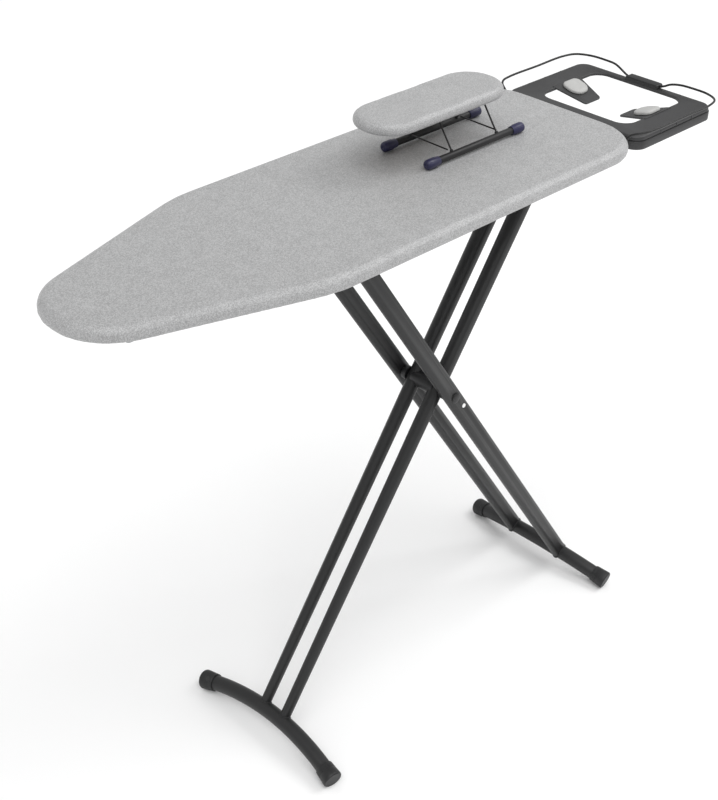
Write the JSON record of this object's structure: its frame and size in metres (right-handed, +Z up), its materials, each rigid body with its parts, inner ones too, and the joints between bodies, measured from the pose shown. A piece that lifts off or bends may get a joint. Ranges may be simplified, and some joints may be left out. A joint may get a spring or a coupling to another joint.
{
  "type": "ironing board",
  "caption": "Folding ironing board with crossed tube legs on arched feet, a padded board, an iron tray with a wire rail, and a small lift-off sleeve board on a folding wire stand.",
  "frame": {"origin": "on the floor, under the middle of the outline of the whole object in plan", "axes": "+X from the pointed nose to the iron tray, +Y to the far long side, +Z up"},
  "size_m": [1.3, 0.368, 1.094],
  "materials": {
    "cover_cloth": "silver-grey coated cotton, fine speckle, soft satin",
    "foam": "off-white felted foam",
    "charcoal_steel": "charcoal satin powder coat",
    "zinc_steel": "zinc-plated steel",
    "black_plastic": "black moulded plastic, fine texture",
    "tray_plastic": "dark grey moulded tray, matte with a slight sheen",
    "pad_silicone": "light grey silicone",
    "black_wire": "black coated steel wire",
    "navy_plastic": "navy blue soft plastic",
    "white_nylon": "white nylon",
    "plywood": "birch plywood",
    "elastic": "woven elastic"
  },
  "bodies": {
    "board": {"deck_sheet": "zinc_steel", "deck_frame": "charcoal_steel", "foam_pad": "foam", "board_cover": "cover_cloth", "hem_elastic": "elastic", "guide_rail_near": "zinc_steel", "guide_rail_far": "zinc_steel", "hinge_bracket_near": "zinc_steel", "hinge_bracket_far": "zinc_steel", "height_rack": "zinc_steel", "lever_bracket": "zinc_steel", "lever_spring": "zinc_steel", "arm_saddle_near": "black_plastic", "arm_saddle_far": "black_plastic", "saddle_screw_near": "zinc_steel", "saddle_screw_far": "zinc_steel", "tray_arm_near": "charcoal_steel", "tray_arm_far": "charcoal_steel", "iron_tray": "tray_plastic", "rest_pad_near": "pad_silicone", "rest_pad_far": "pad_silicone", "rail_wire": "black_wire", "rail_clip": "black_plastic"},
    "narrow_leg": {"narrow_tube_near": "charcoal_steel", "narrow_tube_far": "charcoal_steel", "hinge_axle": "zinc_steel", "cross_spacer": "black_plastic", "narrow_foot": "charcoal_steel", "narrow_foot_cap_near": "black_plastic", "narrow_foot_cap_far": "black_plastic"},
    "wide_leg": {"wide_tube_near": "charcoal_steel", "wide_tube_far": "charcoal_steel", "top_crossbar": "zinc_steel", "cross_pin": "zinc_steel", "cross_washer_near": "black_plastic", "cross_washer_far": "black_plastic", "tube_plug": "white_nylon", "wide_foot": "charcoal_steel", "wide_foot_cap_near": "black_plastic", "wide_foot_cap_far": "black_plastic"},
    "release_lever": {"lever_shaft": "zinc_steel", "release_pawl": "zinc_steel", "lever_grip": "black_plastic"},
    "sleeve_board": {"sleeve_cover": "cover_cloth", "sleeve_pad": "foam", "sleeve_deck": "plywood", "frame_clip_nose": "black_plastic", "frame_clip_tail": "black_plastic"},
    "near_stand": {"near_wire_frame": "black_wire", "near_stand_tube": "black_plastic", "near_stand_cap_nose": "navy_plastic", "near_stand_cap_tail": "navy_plastic"},
    "far_stand": {"far_wire_frame": "black_wire", "far_stand_tube": "black_plastic", "far_stand_cap_nose": "navy_plastic", "far_stand_cap_tail": "navy_plastic"},
    "stand_braces": {"brace_wire_nose": "black_wire", "brace_wire_tail": "black_wire"}
  },
  "joints": [
    {"name": "leg_fold", "type": "hinge", "parent": "board", "child": "narrow_leg", "pos_m": [0.3367, 0, 0.955], "axis": [0, 1, 0], "range_deg": [0, 48.8]},
    {"name": "leg_cross", "type": "hinge", "parent": "narrow_leg", "child": "wide_leg", "pos_m": [0.08387, 0, 0.58214], "axis": [0, 1, 0], "range_deg": [-97.6, 0]},
    {"name": "lever_squeeze", "type": "hinge", "parent": "board", "child": "release_lever", "pos_m": [-0.13496, 0, 0.976], "axis": [0, 1, 0], "range_deg": [-8, 0], "stiffness_Nm_per_rad": 0.8, "springref_deg": 14.32},
    {"name": "sleeve_lift", "type": "slide", "parent": "board", "child": "sleeve_board", "axis": [0, 0, 1], "range_m": [0, 0.12]},
    {"name": "near_stand_fold", "type": "hinge", "parent": "sleeve_board", "child": "near_stand", "pos_m": [0, 0.0215, 1.068], "axis": [1, 0, 0], "range_deg": [-50, 0]},
    {"name": "far_stand_fold", "type": "hinge", "parent": "sleeve_board", "child": "far_stand", "pos_m": [0, 0.0355, 1.068], "axis": [1, 0, 0], "range_deg": [0, 50]},
    {"name": "brace_fold", "type": "hinge", "parent": "near_stand", "child": "stand_braces", "pos_m": [0, -0.01501, 1.0168], "axis": [1, 0, 0], "range_deg": [0, 50]}
  ],
  "couplings": [
    {"joint": "leg_cross", "follows": "leg_fold", "ratio": -2},
    {"joint": "brace_fold", "follows": "near_stand_fold", "ratio": -1}
  ]
}
